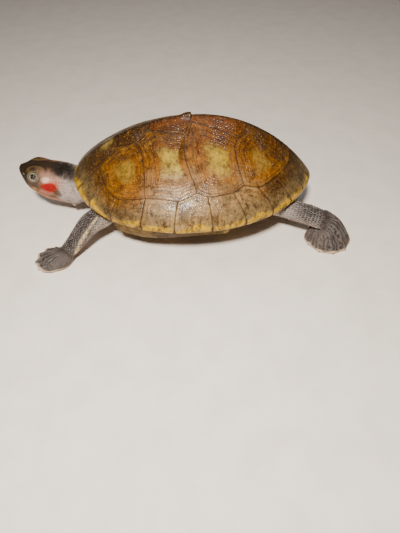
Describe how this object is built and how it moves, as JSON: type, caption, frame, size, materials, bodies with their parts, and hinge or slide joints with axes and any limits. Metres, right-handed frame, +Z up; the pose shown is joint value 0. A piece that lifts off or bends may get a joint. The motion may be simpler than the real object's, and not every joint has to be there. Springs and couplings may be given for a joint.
{
  "type": "indian tent turtle",
  "caption": "Adult female indian tent turtle walking with her head raised: steep keeled shell, webbed feet, pale-edged marginals and a red patch behind the eye.",
  "frame": {"origin": "middle of the footprint's box, on the floor the feet stand on", "axes": "+Z up; the head points along -X and the animal's left side along -Y"},
  "size_m": [0.2832, 0.1554, 0.0974],
  "materials": {
    "carapace_scutes": "keratin scutes, orange-brown, worn satin gloss",
    "plastron_scutes": "keratin scutes, yellowish with dark blotches",
    "skin": "grey finely scaled skin",
    "head_skin": "smooth skin, dark crown, pink and red cheek",
    "eye": "wet, pale green-white iris round a dark pupil",
    "claw_horn": "dark horn"
  },
  "bodies": {
    "root": {"carapace": "carapace_scutes", "plastron": "plastron_scutes", "trunk": "skin", "head": "head_skin", "jaw_lower": "head_skin", "eye_left": "eye", "eye_right": "eye", "neck": "skin", "tail": "skin", "foreleg_left_upper": "skin", "foreleg_left_lower": "skin", "forefoot_left": "skin", "forefoot_left_claw_1": "claw_horn", "forefoot_left_claw_2": "claw_horn", "forefoot_left_claw_3": "claw_horn", "forefoot_left_claw_4": "claw_horn", "forefoot_left_claw_5": "claw_horn", "foreleg_right_upper": "skin", "foreleg_right_lower": "skin", "forefoot_right": "skin", "forefoot_right_claw_1": "claw_horn", "forefoot_right_claw_2": "claw_horn", "forefoot_right_claw_3": "claw_horn", "forefoot_right_claw_4": "claw_horn", "forefoot_right_claw_5": "claw_horn", "hindleg_left_upper": "skin", "hindleg_left_lower": "skin", "hindfoot_left": "skin", "hindfoot_left_claw_1": "claw_horn", "hindfoot_left_claw_2": "claw_horn", "hindfoot_left_claw_3": "claw_horn", "hindfoot_left_claw_4": "claw_horn", "hindleg_right_upper": "skin", "hindleg_right_lower": "skin", "hindfoot_right": "skin", "hindfoot_right_claw_1": "claw_horn", "hindfoot_right_claw_2": "claw_horn", "hindfoot_right_claw_3": "claw_horn", "hindfoot_right_claw_4": "claw_horn"}
  },
  "joints": []
}
